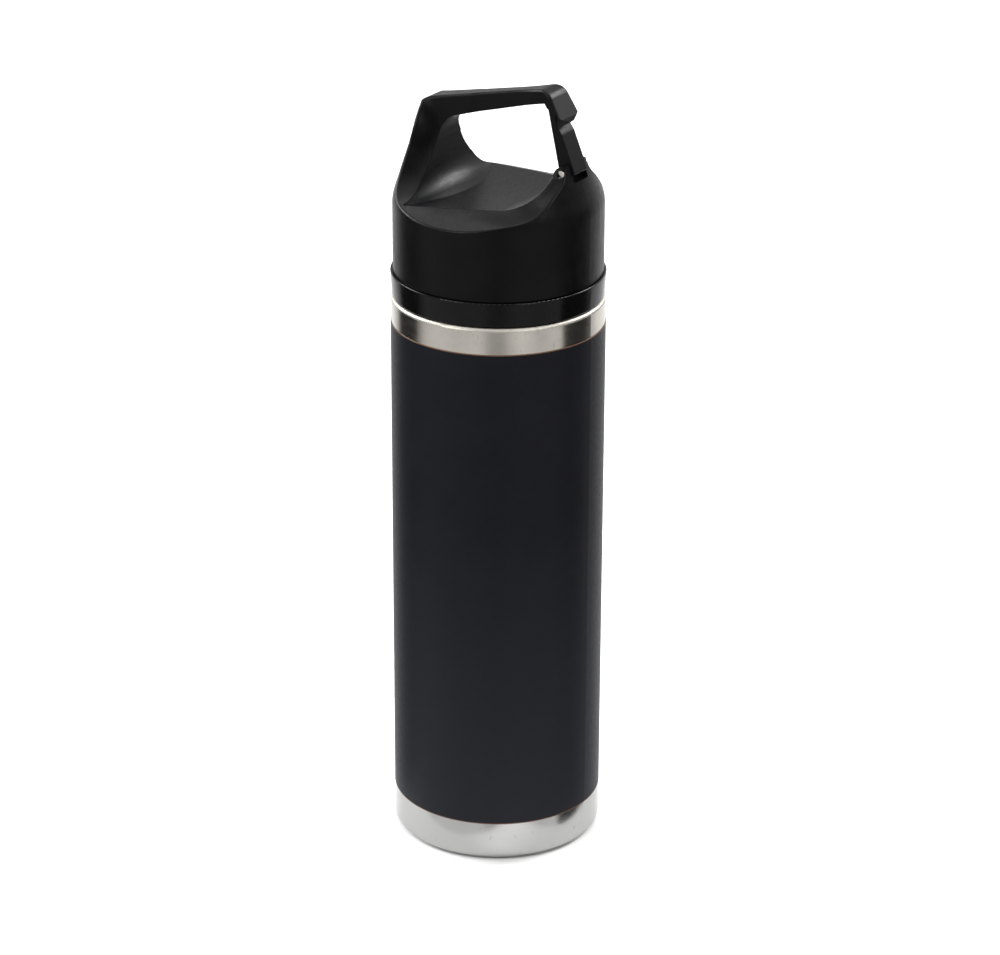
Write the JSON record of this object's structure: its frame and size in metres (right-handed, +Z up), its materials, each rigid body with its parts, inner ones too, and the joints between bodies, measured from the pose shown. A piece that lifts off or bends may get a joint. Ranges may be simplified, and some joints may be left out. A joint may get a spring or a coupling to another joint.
{
  "type": "insulated water bottle",
  "caption": "Straight steel vacuum bottle, black coated, with a screw-on spout collar and a screw cap whose handle is a carabiner with a sprung gate.",
  "frame": {"origin": "on the floor under the middle of the base", "axes": "+Z up along the bottle's axis, +X to the side of the handle where the gate is hinged"},
  "size_m": [0.073, 0.073, 0.2733],
  "materials": {
    "steel": "turned and brushed",
    "braze": "as brazed",
    "silicone": "matt",
    "copper_foil": "bright foil",
    "getter": "sintered",
    "coating": "satin powder coat",
    "gloss_black": "gloss",
    "matt_black": "fine spark-eroded matt",
    "foam": "closed-cell foam"
  },
  "bodies": {
    "vessel": {"outer_wall": "steel", "outer_base": "steel", "seal_bead": "braze", "foot_pad": "silicone", "inner_wall": "steel", "inner_base": "steel", "radiation_foil": "copper_foil", "foil_base": "copper_foil", "getter_clip": "steel", "getter_pellet": "getter", "body_coating": "coating"},
    "collar_lift": {"collar_seal": "silicone"},
    "collar": {"spout_collar": "gloss_black"},
    "cap_lift": {"cap_seal": "silicone"},
    "cap": {"cap_shell": "matt_black", "cap_liner": "matt_black", "cap_insulation": "foam", "gate_pin": "steel", "gate_spring": "steel"},
    "gate_lever": {"gate": "matt_black"}
  },
  "joints": [
    {"name": "collar_raise", "type": "slide", "parent": "vessel", "child": "collar_lift", "axis": [0, 0, 1], "range_m": [0, 0.009]},
    {"name": "collar_turn", "type": "hinge", "parent": "collar_lift", "child": "collar", "pos_m": [0, 0, 0.2], "axis": [0, 0, 1], "range_deg": [0, 810]},
    {"name": "cap_raise", "type": "slide", "parent": "collar", "child": "cap_lift", "axis": [0, 0, 1], "range_m": [0, 0.009]},
    {"name": "cap_turn", "type": "hinge", "parent": "cap_lift", "child": "cap", "pos_m": [0, 0, 0.22], "axis": [0, 0, 1], "range_deg": [0, 810]},
    {"name": "gate_pivot", "type": "hinge", "parent": "cap", "child": "gate_lever", "pos_m": [0.0287, 0, 0.247], "axis": [0, -1, 0], "range_deg": [0, 36], "stiffness_Nm_per_rad": 0.08, "springref_deg": -22.92, "deforming": ["gate_spring"]}
  ],
  "couplings": [
    {"joint": "collar_turn", "follows": "collar_raise", "rad_per_m": 1570.8},
    {"joint": "cap_turn", "follows": "cap_raise", "rad_per_m": 1570.8}
  ]
}
